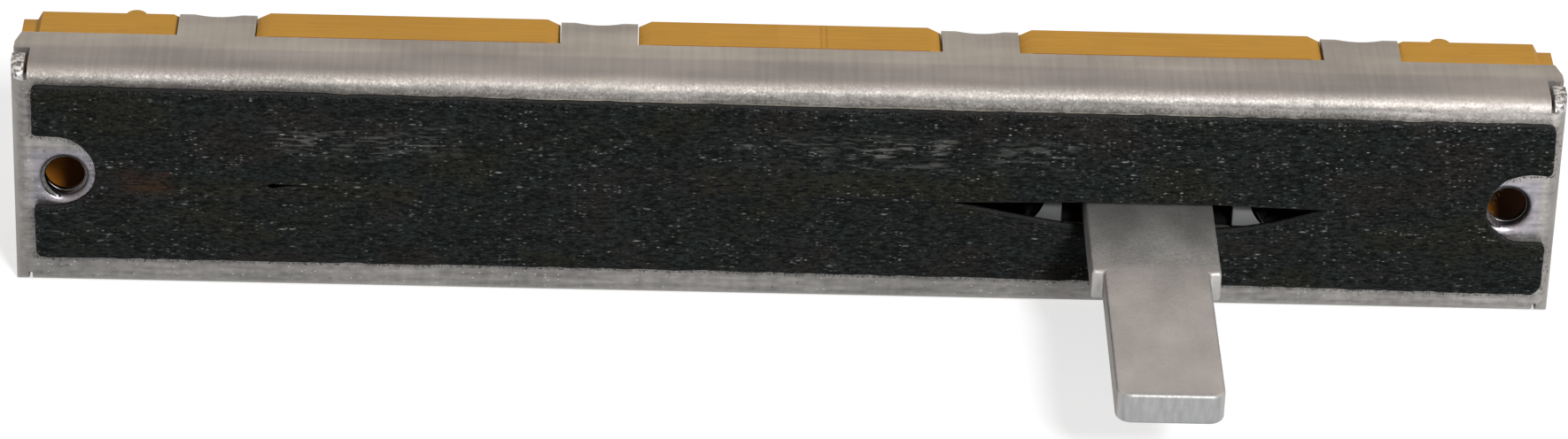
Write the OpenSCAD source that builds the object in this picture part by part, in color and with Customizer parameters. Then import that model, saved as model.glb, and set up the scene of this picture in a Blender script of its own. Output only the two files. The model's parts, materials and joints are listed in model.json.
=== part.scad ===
// Slide potentiometer: a folded steel case with a dust felt on its front, a flat lever on a
// moulded carriage, and a resistor board held at the back by folded tabs.
// The pot is drawn face up: x along the travel, y across it, z out of the front face, which is z = 0.
// laid() then turns it onto its long side, so that the lever points to -Y and the board to +Y.

/* [Case] */
// Length of the case over its end lips
body_l = 60; // [56:0.5:66]
// Width of the case over its long walls
body_w = 9.5; // [9:0.1:11]
// Depth of the long walls, from the front face to the edge that carries the board
wall_d = 3.05; // [2.9:0.05:4]
// Thickness of the steel sheet
sheet_t = 0.5; // [0.4:0.05:0.6]
// Inner radius of the bends round the front face
bend_in_r = 0.1; // [0.05:0.05:0.25]
// Depth of the lip that is turned down at each end
lip_d = 1.3; // [1.1:0.05:1.6]
// Relief gap between a lip and the edges of the long walls' bends
lip_gap = 0.15; // [0.1:0.05:0.25]
// Relief gap behind a lip's ends, up to the long walls
lip_end_gap = 0.45; // [0.15:0.05:0.5]
// How far the relief gap stops short of the front face
relief_stop = 0.1; // [0:0.05:0.2]
// Length of the cut-off corner at the ends of the long walls
corner_cut_l = 0.2; // [0.1:0.05:0.8]
// Depth of that cut-off corner
corner_cut_d = 0.8; // [0.6:0.05:1.2]
// Distance from the end of the case to the end of the lever slot
slot_edge = 3.65; // [3.6:0.05:6]
// Room beside the lever in the slot
slot_clear = 0.2; // [0.1:0.05:0.3]

/* [Screw holes] */
// Distance from the end of the case to the middle of a screw hole
hole_edge = 2; // [1.95:0.05:2.1]
// Tapping diameter of the screw holes, for an M2 thread
tap_d = 1.6; // [1.4:0.05:1.65]
// Radius of the drawn lead-in at the mouth of a screw hole
lead_r = 0.38; // [0.2:0.02:0.4]
// Wall of the drawn collar round a screw hole
collar_wall = 0.5; // [0.35:0.05:0.5]
// Depth of the collar below the front face
collar_h = 0.7; // [0.6:0.05:2]

/* [Tabs] */
// Number of tabs on each long wall
tab_n = 4; // [2:1:5]
// Distance from the end of the case to the middle of the last tab
tab_edge = 7.7; // [7:0.1:9]
// Width of a tab
tab_w = 3; // [2:0.1:3.4]
// Inner radius of the fold over the board
fold_in_r = 0.5; // [0.3:0.05:0.7]
// Length of the folded end, from the outside of the wall
fold_l = 2.2; // [1.8:0.1:2.6]
// Gap between a tab and the board beside it
tab_gap = 0.03; // [0.03:0.01:0.15]
// Width of the dent that staking leaves on a tab's fold
dent_w = 1.9; // [1:0.1:2.2]
// Depth of that dent
dent_d = 0.13; // [0.05:0.01:0.2]
// Where on the fold the dent sits, in degrees from the wall's outer face
dent_a = 30; // [10:5:60]

/* [Board] */
// Thickness of the resistor board
board_t = 2; // [1.2:0.1:2.4]
// How far the board's ends stay inside the case's length
board_inset = 0.1; // [0.05:0.05:0.5]
// Length of the narrower step at each end of the board
step_l = 0.75; // [0.4:0.05:1.2]
// Depth of that step on each side
step_w = 0.5; // [0.1:0.05:0.6]
// Length of the slant that leads up from that step
step_slant = 0.2; // [0.1:0.05:0.3]
// Depth of the slanted corners of the board beside each tab
land_slant_d = 0.25; // [0.2:0.05:0.4]
// Length of those slanted corners along the board's edge
land_slant_l = 0.5; // [0.2:0.05:0.8]
// How much lower the board's edge lies beyond the last tabs than between them
end_drop = 0.14; // [0:0.01:0.15]
// Gap between the root of a notch in the board and the folded tab
notch_gap = 0.05; // [0.02:0.01:0.15]
// Distance from the end of the case to the middle of a break-off nub
nub_edge = 4.5; // [4:0.1:5]
// Radius of a break-off nub
nub_r = 0.4; // [0.3:0.05:0.6]
// Height of a break-off nub over the board's back
nub_h = 0.3; // [0.1:0.05:0.35]
// Length of a break-off nub, from the board's edge
nub_l = 0.8; // [0.4:0.1:1.2]

/* [Tracks and terminals] */
// Distance of each track from the middle of the board
track_y = 1.9; // [1.8:0.05:2.1]
// Width of the printed tracks
track_w = 1.8; // [1.4:0.1:2.2]
// Thickness of the printed layers
print_t = 0.03; // [0.02:0.01:0.06]
// Length of track past the last contact point
track_spare = 0.6; // [0.3:0.1:1]
// Distance from the end of the case to the middle of an eyelet
term_edge = 4.6; // [4.4:0.1:5]
// Outer diameter of an eyelet's barrel
eyelet_d = 1.2; // [0.9:0.05:1.3]
// Wall of an eyelet's barrel
eyelet_wall = 0.2; // [0.1:0.05:0.3]
// Width of an eyelet's flanges
flange_w = 0.4; // [0.2:0.05:0.5]
// Thickness of an eyelet's flanges
flange_t = 0.2; // [0.1:0.05:0.25]
// Gap round an eyelet in its holes
eyelet_gap = 0.04; // [0.02:0.01:0.08]
// Margin of a printed electrode round its eyelet
pad_margin = 0.3; // [0.1:0.05:0.4]
// Thickness of a terminal
lug_t = 0.4; // [0.3:0.05:0.5]
// Margin of a terminal's ring round its eyelet hole
lug_margin = 0.45; // [0.3:0.05:0.5]
// Width of a terminal's pin
pin_w = 0.9; // [0.6:0.05:1.2]
// Length of a terminal's pin behind the board
pin_l = 3.2; // [2:0.1:3.4]
// Distance from an eyelet's middle to the outer face of the pin
pin_reach = 1.8; // [1.6:0.1:2.2]
// Inner radius of a terminal's bend
pin_in_r = 0.2; // [0.1:0.05:0.3]

/* [Lever] */
// Place of the lever along the travel, from the middle of the case
lever_x = 14; // [-18:0.5:18]
// Width of the lever at its root
lever_w = 4.95; // [4:0.05:6]
// Width of the lever's end, which takes a knob
lever_end_w = 4.05; // [3:0.05:4.9]
// Thickness of the lever
lever_t = 1.25; // [0.8:0.05:1.4]
// Height of the lever above the front face
lever_h = 15; // [10:0.5:20]
// Height of the shoulders above the front face
shoulder_h = 5.85; // [3:0.05:8]
// Radius of the lever's end corners
end_corner_r = 0.6; // [0.2:0.05:1]
// How far the lever lies to one side of the slot's middle line
lever_off = 0.45; // [0:0.05:0.5]
// Radius of the holding notches in the lever's root
root_notch_r = 0.12; // [0.05:0.01:0.14]

/* [Carriage] */
// Length of the carriage
car_l = 9.4; // [9:0.1:12]
// Height of the carriage below the case's front
car_h = 1.4; // [1.2:0.05:1.6]
// Side clearance of the carriage in the case
car_clear = 0.15; // [0.1:0.01:0.3]
// Clearance between the carriage's rails and the case's front
rail_clear = 0.1; // [0.05:0.01:0.15]
// Width of the slide rails on top of the carriage
rail_w = 0.9; // [0.5:0.1:1.2]
// Height of the slide rails
rail_h = 0.35; // [0.2:0.05:0.5]
// Clearance at the ends of the slot
stop_clear = 0.15; // [0.05:0.05:0.5]
// Open gap between the lever and the ears beside it
ear_gap = 0.85; // [0.4:0.05:1]
// Depth of the open well between the ears, in which the lever stands
well_d = 0.65; // [0.4:0.05:0.7]
// Slant of the ears' outer ends
ear_slant = 0.7; // [0.2:0.05:0.8]
// Radius of the hollow in the ears' slanted ends
ear_hollow_r = 1.6; // [1.2:0.1:3]
// Depth of that hollow
ear_hollow_d = 0.15; // [0.05:0.01:0.15]
// How far the ears' ends lie below the front face
ear_drop = 0.05; // [0:0.01:0.2]
// Thickness of the floor under the lever
floor_t = 0.3; // [0.2:0.05:0.4]
// Gap round the lever in its pocket
pocket_gap = 0.02; // [0.01:0.01:0.05]
// Width of the hub beside the lever's pocket
hub_margin = 0.5; // [0.3:0.05:0.6]
// Distance from the carriage's end to the middle of a heat-staked stud
stud_edge = 1.1; // [1:0.05:1.3]
// Diameter of the studs
stud_d = 0.8; // [0.5:0.05:0.9]
// Diameter of the staked heads
stake_d = 1.4; // [1.1:0.05:1.6]
// Height of the staked heads
stake_h = 0.25; // [0.15:0.05:0.3]

/* [Wiper] */
// Thickness of the wiper's spring sheet
wiper_t = 0.12; // [0.08:0.01:0.2]
// Number of fingers on each track
finger_n = 3; // [2:1:4]
// Width of a finger
finger_w = 0.3; // [0.2:0.05:0.35]
// Gap between fingers
finger_gap = 0.2; // [0.1:0.05:0.25]
// Distance from the carriage's middle to the contact points
contact_x = 1.4; // [1:0.1:1.6]
// Diameter of the rolled contact at a finger's end
bead_d = 0.3; // [0.2:0.02:0.4]
// Running gap between the contacts and the tracks
contact_gap = 0.04; // [0.02:0.01:0.06]
// Where the fingers leave the wiper's plate, from the carriage's middle
finger_root_x = 1.6; // [1:0.1:2]
// Width of the wiper's middle strip
spine_w = 1.6; // [1.4:0.1:1.8]
// Margin of the wiper's plate inside the carriage's ends
wiper_inset = 0.3; // [0.2:0.05:0.4]
// Gap round the studs in the wiper's holes
stud_gap = 0.03; // [0.01:0.01:0.05]

/* [Felt] */
// Thickness of the felt
felt_t = 0.45; // [0.3:0.05:0.8]
// Thickness of the adhesive film under the felt
film_t = 0.05; // [0.03:0.01:0.1]
// Bare margin of the front face at the left end
felt_left = 0.8; // [0.5:0.1:0.9]
// Bare margin of the front face at the right end
felt_right = 0.4; // [0.3:0.1:0.8]
// Bare margin of the front face along the upper wall
felt_upper = 0.77; // [0.7:0.01:1]
// Bare margin of the front face along the lower wall
felt_lower = 1.33; // [0.8:0.01:1.5]
// Angle at which the felt was glued on, in degrees
felt_turn = -0.26; // [-0.3:0.02:0.3]
// Corner radius of the felt
felt_corner_r = 0.3; // [0.1:0.05:0.6]
// Width of the notch round each screw hole
notch_w = 3.1; // [2.8:0.1:3.4]
// Depth of that notch
notch_d = 2.4; // [2.3:0.02:2.44]
// Width of the closed slit in the felt
slit_w = 0.1; // [0.05:0.01:0.2]
// Reach of the opened slit past each side of the lever
eye_reach = 4.3; // [3:0.1:5]
// Room between the felt's lips and the lever
lip_clear = 0.05; // [0.03:0.01:0.1]
// How far the adhesive film stays inside the felt's edges
film_inset = 0.1; // [0.05:0.05:0.2]
// Margin of the adhesive film round the lever slot
film_margin = 0.2; // [0.1:0.05:0.22]

/* [Hidden] */
$fn = 48;

// Overrun of a cut past the face that it opens
cut = 1;
// Overlap of two shapes of one piece that run into each other
root = 0.2;

bend_r = sheet_t + bend_in_r;
fold_r = sheet_t + fold_in_r;
board_back = wall_d + board_t;
board_end_y = body_w / 2 - end_drop;
hole_x = body_l / 2 - hole_edge;
collar_d = tap_d + 2 * collar_wall;
tab_pitch = (body_l - 2 * tab_edge) / (tab_n - 1);

lever_lower = lever_off + lever_t / 2;
lever_upper = lever_t / 2 - lever_off;
slot_l = body_l - 2 * slot_edge;
slot_w = 2 * (lever_lower + slot_clear);
travel = slot_l - car_l - 2 * stop_clear;

car_half_w = body_w / 2 - sheet_t - car_clear;
stud_x = car_l / 2 - stud_edge;
car_top = sheet_t + rail_clear;
car_bottom = car_top + car_h;
wiper_bottom = car_bottom + wiper_t;

term_x = body_l / 2 - term_edge;
track_l = travel + 2 * (contact_x + track_spare);
eyelet_hole_d = eyelet_d + 2 * eyelet_gap;
flange_d = eyelet_d + 2 * flange_w;

felt_l = body_l - felt_left - felt_right;
felt_w = body_w - felt_upper - felt_lower;
felt_x = (felt_left - felt_right) / 2;
felt_y = (felt_lower - felt_upper) / 2;
eye_half = lever_w / 2 + eye_reach;

// Each terminal's end of the board and its track: 1 and 3 end the resistive track, 2 the collector
term_end = [-1, 1, 1];
term_side = [1, -1, 1];

steel = [0.63, 0.62, 0.6];
lever_grey = [0.55, 0.53, 0.5];
moulded_grey = [0.45, 0.45, 0.44];
felt_black = [0.1, 0.11, 0.11];
film_amber = [0.75, 0.7, 0.45];
board_brown = [0.72, 0.52, 0.2];
carbon = [0.15, 0.15, 0.16];
silver = [0.8, 0.8, 0.78];
bronze = [0.8, 0.6, 0.35];
tinned = [0.78, 0.77, 0.74];

// Turns the pot from face up onto its long side
module laid() rotate([90, 0, 0]) children();

// Sweeps a section (across, out of the face) along x, centred
module along_x(l) rotate([90, 0, 90]) linear_extrude(l, center = true) children();

// Sweeps a section (along, out of the face) along y, centred
module along_y(w) rotate([90, 0, 0]) linear_extrude(w, center = true) children();

// Rectangle outline with four round corners
module rounded_plate(l, w, r) {
    square([l - 2 * r, w], center = true);
    square([l, w - 2 * r], center = true);
    for (sx = [-1, 1], sy = [-1, 1]) translate([sx * (l / 2 - r), sy * (w / 2 - r)]) circle(r);
}

// Rectangle from the origin with its lower right corner rounded
module one_round(l, h, r) {
    square([l - r, h]);
    translate([0, r]) square([l, h - r]);
    translate([l - r, r]) circle(r);
}

// Strip bent through a right angle: a foot of length l and a leg of height h at its right end
module bent_strip(l, h, t, in_r) {
    difference() {
        one_round(l, h, t + in_r);
        translate([-cut, t]) one_round(l - t + cut, h + cut, in_r);
    }
}

// Filled section of a folded tray, open downwards
module tray_section(w, top, bottom, r) {
    translate([-w / 2, -bottom]) square([w, bottom - top - r]);
    translate([-w / 2 + r, -bottom]) square([w - 2 * r, bottom - top]);
    for (s = [-1, 1]) translate([s * (w / 2 - r), -top - r]) circle(r);
}

// Tray with bends along all four sides of its front
module tray(l, w, top, bottom, r) {
    intersection() {
        along_x(l + 2 * cut) tray_section(w, top, bottom, r);
        along_y(w + 2 * cut) tray_section(l, top, bottom, r);
    }
}

// Relief cuts that free a lip from the long wall at one corner, and the wall's cut-off corner
module corner_relief() {
    gap_x = body_l / 2 - sheet_t - lip_gap;
    edge_y = body_w / 2;
    depth = lip_d + lip_end_gap;
    translate([gap_x, edge_y - bend_r + relief_stop, -depth])
        cube([lip_gap, bend_r - relief_stop + cut, depth + cut]);
    translate([gap_x, edge_y - sheet_t, -depth])
        cube([sheet_t + lip_gap + cut, sheet_t + cut, lip_end_gap]);
    translate([0, edge_y - sheet_t / 2, 0]) along_y(sheet_t + cut)
        polygon([
            [body_l / 2 - corner_cut_l, -wall_d],
            [body_l / 2, -wall_d + corner_cut_d],
            [body_l / 2 + cut, -wall_d + corner_cut_d],
            [body_l / 2 + cut, -wall_d - cut],
            [body_l / 2 - corner_cut_l, -wall_d - cut]
        ]);
}

// Opens the end of the case behind its lip
module end_opening() {
    w = body_w - 2 * sheet_t;
    translate([body_l / 2 - sheet_t - root, -w / 2, -wall_d - cut])
        cube([sheet_t + root + cut, w, wall_d + cut - lip_d]);
}

// Bore of a screw hole with its rounded mouth
module drawn_hole() {
    mouth_r = tap_d / 2 + lead_r;
    translate([0, 0, -collar_h - cut]) cylinder(d = tap_d, h = collar_h + 2 * cut);
    rotate_extrude() difference() {
        translate([0, -lead_r]) square([mouth_r, lead_r + cut]);
        translate([mouth_r, -lead_r]) circle(lead_r);
    }
}

// Tab on the upper wall, through the board's notch, folded over the board's back and staked
module tab() {
    dent_r = (dent_w * dent_w / 4 + dent_d * dent_d) / (2 * dent_d);
    reach = fold_r + dent_r - dent_d;
    difference() {
        along_x(tab_w) translate([body_w / 2 - fold_l, -board_back - sheet_t])
            bent_strip(fold_l, board_t + sheet_t + root, sheet_t, fold_in_r);
        translate([0, body_w / 2 - fold_r, fold_r - board_back - sheet_t])
            translate([0, reach * cos(dent_a), -reach * sin(dent_a)]) sphere(dent_r, $fn = 96);
    }
}

// Puts its children at every tab of the upper wall
module at_tabs() {
    for (i = [0 : tab_n - 1]) translate([tab_edge - body_l / 2 + i * tab_pitch, 0, 0]) children();
}

module case() {
    color(steel) difference() {
        union() {
            difference() {
                tray(body_l, body_w, 0, wall_d, bend_r);
                tray(body_l - 2 * sheet_t, body_w - 2 * sheet_t, sheet_t, wall_d + cut, bend_in_r);
                for (sx = [0, 1], sy = [0, 1]) mirror([sx, 0, 0]) mirror([0, sy, 0]) corner_relief();
                for (sx = [0, 1]) mirror([sx, 0, 0]) end_opening();
            }
            for (s = [-1, 1]) translate([s * hole_x, 0, -collar_h])
                cylinder(d = collar_d, h = collar_h - sheet_t / 2);
            for (sy = [0, 1]) mirror([0, sy, 0]) at_tabs() tab();
        }
        for (s = [-1, 1]) translate([s * hole_x, 0, 0]) drawn_hole();
        translate([0, 0, -sheet_t - cut]) linear_extrude(sheet_t + 2 * cut)
            rounded_plate(slot_l, slot_w, slot_clear);
    }
}

// One lip of the opened slit: an arc from tip to tip that clears the lever's corner by lip_clear
module eye_half_outline(lever_face) {
    h = lever_face + lip_clear;
    b = lever_w / 2 + lip_clear;
    centre = (h * h + b * b - eye_half * eye_half) / (2 * h);
    intersection() {
        translate([0, centre]) circle(sqrt(eye_half * eye_half + centre * centre), $fn = 360);
        translate([-eye_half, 0]) square([2 * eye_half, h + cut]);
    }
}

// Outline of the felt, or of a sheet that stays inside its edges
module felt_outline(inset = 0) {
    across = notch_w + 2 * inset;
    translate([felt_x, felt_y]) rotate(felt_turn) difference() {
        rounded_plate(felt_l - 2 * inset, felt_w - 2 * inset, felt_corner_r - inset);
        for (s = [0, 1]) mirror([s, 0]) translate([felt_l / 2 - notch_d + notch_w / 2, 0]) {
            circle(d = across);
            translate([0, -across / 2]) square([notch_d - notch_w / 2 + cut, across]);
        }
    }
}

module dust_felt() {
    color(felt_black) translate([0, 0, film_t]) linear_extrude(felt_t) difference() {
        felt_outline();
        square([slot_l, slit_w], center = true);
        translate([lever_x, 0]) {
            eye_half_outline(lever_upper);
            mirror([0, 1]) eye_half_outline(lever_lower);
        }
    }
}

module felt_adhesive() {
    color(film_amber) linear_extrude(film_t) difference() {
        felt_outline(film_inset);
        rounded_plate(slot_l + 2 * film_margin, slot_w + 2 * film_margin, slot_clear);
    }
}

// Outline of a recess that the lever stands in, seen from the front
module recess(l) {
    translate([0, -lever_off]) square([l, lever_t + 2 * pocket_gap], center = true);
}

// Ear at the right of the lever that spreads the felt's lips
module ear() {
    x0 = lever_w / 2 + ear_gap;
    x1 = car_l / 2;
    out = (ear_hollow_r - ear_hollow_d) / norm([ear_slant, lever_t]);
    translate([0, 0, -car_top - root]) linear_extrude(car_top + root - ear_drop) difference() {
        polygon([
            [x0, -lever_lower], [x1, -lever_lower], [x1 - ear_slant, lever_upper], [x0, lever_upper]
        ]);
        translate([x1 - ear_slant / 2 + out * lever_t, out * ear_slant - lever_off])
            circle(ear_hollow_r, $fn = 96);
    }
}

// Stud under the carriage with its staked head
module stud() {
    translate([0, 0, -wiper_bottom - root]) cylinder(d = stud_d, h = wiper_t + 2 * root);
    translate([0, 0, -wiper_bottom - stake_h]) cylinder(d = stake_d, h = stake_h);
}

module carriage() {
    hub_lower = lever_lower + hub_margin;
    hub_upper = lever_upper + hub_margin;
    color(moulded_grey) translate([lever_x, 0, 0]) difference() {
        union() {
            translate([-car_l / 2, -car_half_w, -car_bottom])
                cube([car_l, 2 * car_half_w, car_h - rail_h]);
            for (s = [0, 1]) mirror([0, s, 0]) translate([-car_l / 2, car_half_w - rail_w, -car_bottom])
                cube([car_l, rail_w, car_h]);
            translate([-car_l / 2, -hub_lower, -car_bottom]) cube([car_l, hub_lower + hub_upper, car_h]);
            for (s = [0, 1]) mirror([s, 0, 0]) ear();
            for (s = [-1, 1]) translate([s * stud_x, 0, 0]) stud();
        }
        translate([0, 0, floor_t - car_bottom]) linear_extrude(car_h) recess(lever_w + 2 * pocket_gap);
        translate([0, 0, -car_top - well_d]) linear_extrude(well_d + car_top) recess(lever_w + 2 * ear_gap);
    }
}

// Outline of the lever: root, shoulders, and an end with round corners
module lever_outline() {
    foot = car_bottom - floor_t;
    end_h = lever_h - shoulder_h;
    difference() {
        translate([-lever_w / 2, -foot]) square([lever_w, foot + shoulder_h]);
        for (s = [-1, 1]) translate([s * lever_w / 2, -(foot + car_top + well_d) / 2]) circle(root_notch_r);
    }
    translate([-lever_end_w / 2, shoulder_h - root]) square([lever_end_w, end_h + root - end_corner_r]);
    translate([-lever_end_w / 2 + end_corner_r, shoulder_h])
        square([lever_end_w - 2 * end_corner_r, end_h]);
    for (s = [-1, 1]) translate([s * (lever_end_w / 2 - end_corner_r), lever_h - end_corner_r])
        circle(end_corner_r);
}

module lever() {
    color(lever_grey) translate([lever_x, -lever_off, 0]) along_y(lever_t) lever_outline();
}

// Side view of a wiper finger: a sloping spring strip that ends in a rolled contact
module finger_section() {
    bead_z = print_t + contact_gap + bead_d / 2 - wall_d;
    polygon([
        [finger_root_x + root, -car_bottom],
        [finger_root_x, -car_bottom],
        [-contact_x, bead_z + wiper_t / 2],
        [-contact_x, bead_z - wiper_t / 2],
        [finger_root_x, -wiper_bottom],
        [finger_root_x + root, -wiper_bottom]
    ]);
    translate([-contact_x, bead_z]) circle(d = bead_d);
}

module wiper() {
    half_l = car_l / 2 - wiper_inset;
    finger_pitch = finger_w + finger_gap;
    brush_w = finger_n * finger_pitch - finger_gap;
    plate_w = 2 * track_y + brush_w;
    color(bronze) translate([lever_x, 0, 0]) {
        difference() {
            translate([0, 0, -wiper_bottom]) linear_extrude(wiper_t) {
                translate([-half_l, -spine_w / 2]) square([2 * half_l, spine_w]);
                translate([finger_root_x, -plate_w / 2]) square([half_l - finger_root_x, plate_w]);
            }
            for (s = [-1, 1]) translate([s * stud_x, 0, -wiper_bottom - cut])
                cylinder(d = stud_d + 2 * stud_gap, h = wiper_t + 2 * cut);
        }
        for (side = [-1, 1], i = [0 : finger_n - 1])
            translate([0, side * track_y + (i - (finger_n - 1) / 2) * finger_pitch, 0])
                along_y(finger_w) finger_section();
    }
}

// Notch that lets a tab through the board's upper edge, with a slanted mouth
module board_notch() {
    half = tab_w / 2 + tab_gap;
    depth = fold_r + notch_gap;
    polygon([
        [-half, -depth], [half, -depth], [half, -land_slant_d],
        [half + land_slant_l, 0], [half + land_slant_l, cut],
        [-half - land_slant_l, cut], [-half - land_slant_l, 0], [-half, -land_slant_d]
    ]);
}

// Plate whose ends slant in from half length a at half width y to half length b at half width z
module slanted_plate(a, y, b, z) {
    polygon([[a, -y], [a, y], [b, z], [-b, z], [-a, y], [-a, -y], [-b, -z], [b, -z]]);
}

module board_outline() {
    half_l = body_l / 2 - board_inset;
    low_y = body_w / 2 - step_w;
    difference() {
        union() {
            square([2 * half_l, 2 * low_y], center = true);
            slanted_plate(half_l - step_l + step_slant, low_y, half_l - step_l, board_end_y);
            square([body_l - 2 * tab_edge, body_w], center = true);
        }
        for (s = [0, 1]) mirror([0, s]) at_tabs() translate([0, body_w / 2]) board_notch();
    }
}

// Break-off nub on the board's back, where it was held in its panel
module nub() translate([0, 0, nub_r - nub_h]) rotate([90, 0, 0]) cylinder(r = nub_r, h = nub_l);

// Puts its children at the eyelet of a terminal
module at_terminal(n) {
    translate([term_end[n - 1] * term_x, term_side[n - 1] * track_y, 0])
        mirror([term_end[n - 1] < 0 ? 1 : 0, 0, 0]) children();
}

module board() {
    color(board_brown) difference() {
        union() {
            translate([0, 0, -board_back]) linear_extrude(board_t) board_outline();
            for (s = [-1, 1]) translate([s * (body_l / 2 - nub_edge), board_end_y, -board_back]) nub();
        }
        for (n = [1 : 3]) at_terminal(n) translate([0, 0, -board_back - cut])
            cylinder(d = eyelet_hole_d, h = board_t + 2 * cut);
    }
}

// Printed track on the board's inner face
module track(side) {
    translate([0, side * track_y, -wall_d]) linear_extrude(print_t)
        square([track_l, track_w], center = true);
}

module resistive_track() {
    color(carbon) track(1);
}

module collector_track() {
    color(carbon) track(-1);
}

// Printed silver pad from a track's end to round an eyelet
module electrode(n) {
    pad_d = flange_d + 2 * pad_margin;
    inner = term_x - track_l / 2;
    color(silver) at_terminal(n) translate([0, 0, -wall_d]) linear_extrude(print_t) difference() {
        union() {
            circle(d = pad_d);
            translate([-inner, -track_w / 2]) square([inner, track_w]);
        }
        circle(d = eyelet_hole_d);
    }
}

// Terminal: a ring on the board's back and a pin bent away from it
module terminal(n) {
    ring_d = eyelet_hole_d + 2 * lug_margin;
    color(tinned) at_terminal(n) translate([0, 0, -board_back]) difference() {
        union() {
            translate([0, 0, -lug_t]) cylinder(d = ring_d, h = lug_t);
            mirror([0, 0, 1]) along_y(pin_w) bent_strip(pin_reach, pin_l, lug_t, pin_in_r);
        }
        translate([0, 0, -lug_t - cut]) cylinder(d = eyelet_hole_d, h = lug_t + 2 * cut);
    }
}

// Half section of an eyelet's flange with its rolled rim, from the barrel's bore outwards
module flange_section() {
    bore_r = eyelet_d / 2 - eyelet_wall;
    rim_r = flange_t / 2;
    translate([bore_r, 0]) square([eyelet_wall + flange_w - rim_r, flange_t]);
    translate([flange_d / 2 - rim_r, rim_r]) circle(rim_r);
}

// Hollow rivet that clamps a terminal's ring and its electrode to the board
module eyelet(n) {
    top = print_t - wall_d;
    bottom = -board_back - lug_t;
    color(tinned) at_terminal(n) rotate_extrude() {
        translate([eyelet_d / 2 - eyelet_wall, bottom]) square([eyelet_wall, top - bottom]);
        translate([0, top]) flange_section();
        translate([0, bottom - flange_t]) flange_section();
    }
}

laid() case();
laid() dust_felt();
laid() felt_adhesive();
laid() carriage();
laid() lever();
laid() wiper();
laid() board();
laid() resistive_track();
laid() collector_track();
for (n = [1 : 3]) {
    laid() electrode(n);
    laid() terminal(n);
    laid() eyelet(n);
}
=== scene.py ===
# %% [markdown]
# # A slide potentiometer for the parts library
# The pot lies on its long wall: a folded steel case, a slit dust felt on its front, a flat lever that
# comes out of the slit, and a brown resistor board that tabs hold at the back. The construction comes
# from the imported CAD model. This lesson dresses it with finishes, soft edges, felt and light.

import json
import math
import random

import bmesh
import bpy
import numpy as np
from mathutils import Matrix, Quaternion, Vector, geometry, noise

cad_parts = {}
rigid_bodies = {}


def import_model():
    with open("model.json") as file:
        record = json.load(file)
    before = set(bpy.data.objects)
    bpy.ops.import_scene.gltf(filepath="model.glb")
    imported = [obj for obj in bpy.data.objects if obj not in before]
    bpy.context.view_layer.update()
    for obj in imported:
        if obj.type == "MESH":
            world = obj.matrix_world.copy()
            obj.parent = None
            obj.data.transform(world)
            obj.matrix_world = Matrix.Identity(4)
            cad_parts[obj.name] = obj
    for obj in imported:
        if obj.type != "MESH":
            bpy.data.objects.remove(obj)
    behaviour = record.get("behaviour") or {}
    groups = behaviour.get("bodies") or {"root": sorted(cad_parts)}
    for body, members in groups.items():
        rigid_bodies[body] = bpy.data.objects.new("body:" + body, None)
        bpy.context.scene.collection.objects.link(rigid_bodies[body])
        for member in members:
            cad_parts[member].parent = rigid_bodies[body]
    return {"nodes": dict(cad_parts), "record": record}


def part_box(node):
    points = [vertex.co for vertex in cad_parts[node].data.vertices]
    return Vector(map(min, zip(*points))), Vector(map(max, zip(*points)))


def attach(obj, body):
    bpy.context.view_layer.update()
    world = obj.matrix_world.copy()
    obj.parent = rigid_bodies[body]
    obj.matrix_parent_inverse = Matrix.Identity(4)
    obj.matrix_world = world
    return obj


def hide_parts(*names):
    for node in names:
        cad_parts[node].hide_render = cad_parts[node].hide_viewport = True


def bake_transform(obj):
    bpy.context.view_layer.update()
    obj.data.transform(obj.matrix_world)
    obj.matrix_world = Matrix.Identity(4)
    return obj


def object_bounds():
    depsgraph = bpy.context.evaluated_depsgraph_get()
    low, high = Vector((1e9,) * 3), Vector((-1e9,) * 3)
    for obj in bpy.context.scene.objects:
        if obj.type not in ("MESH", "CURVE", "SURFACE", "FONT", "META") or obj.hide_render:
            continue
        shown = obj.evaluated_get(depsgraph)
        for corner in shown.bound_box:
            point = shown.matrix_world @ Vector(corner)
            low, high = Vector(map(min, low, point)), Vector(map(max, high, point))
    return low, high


for leftover in list(bpy.data.objects):
    bpy.data.objects.remove(leftover)
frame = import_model()
cad_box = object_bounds()
MM = 0.001


def place(node):
    """Lowest and highest corner of a CAD node, in millimetres."""
    return [np.array(corner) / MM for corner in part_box(node)]


def in_mm(box):
    return [np.round(np.array(corner) / MM, 2).tolist() for corner in box]


print("frame:", len(frame["nodes"]), "nodes, box in mm", in_mm(cad_box))

# %% [markdown]
# ## The camera
# A photograph fixes where its camera stood. Long straight edges of the case were fitted to the photo
# by least squares, which gives a distance, an aim, a slight roll and a focal length in pixels. Blender
# wants the focal length in millimetres on its sensor, so the pixels are scaled by the image width.

# %% Camera at the photo's viewing angle
PHOTO_W = 1770
FOCAL_PX = 7367
SENSOR_W = 36
NEAREST = 0.01
eye = Vector((-6.22, -221.06, 123.29)) * MM
aim = Vector((-0.107, 0, -1.173)) * MM
roll = Quaternion((0, 0, 1), math.radians(2.005))

scene = bpy.context.scene
camera = bpy.data.objects.new("camera", bpy.data.cameras.new("camera"))
scene.collection.objects.link(camera)
camera.data.sensor_width = SENSOR_W
camera.data.lens = SENSOR_W * FOCAL_PX / PHOTO_W
camera.data.clip_start = NEAREST
camera.location = eye
camera.rotation_mode = "QUATERNION"
camera.rotation_quaternion = (aim - eye).to_track_quat("-Z", "Y") @ roll
scene.camera = camera
scene.view_settings.view_transform = "Standard"
print("camera: lens", round(camera.data.lens, 1), "mm, distance", round((aim - eye).length / MM), "mm")

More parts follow.
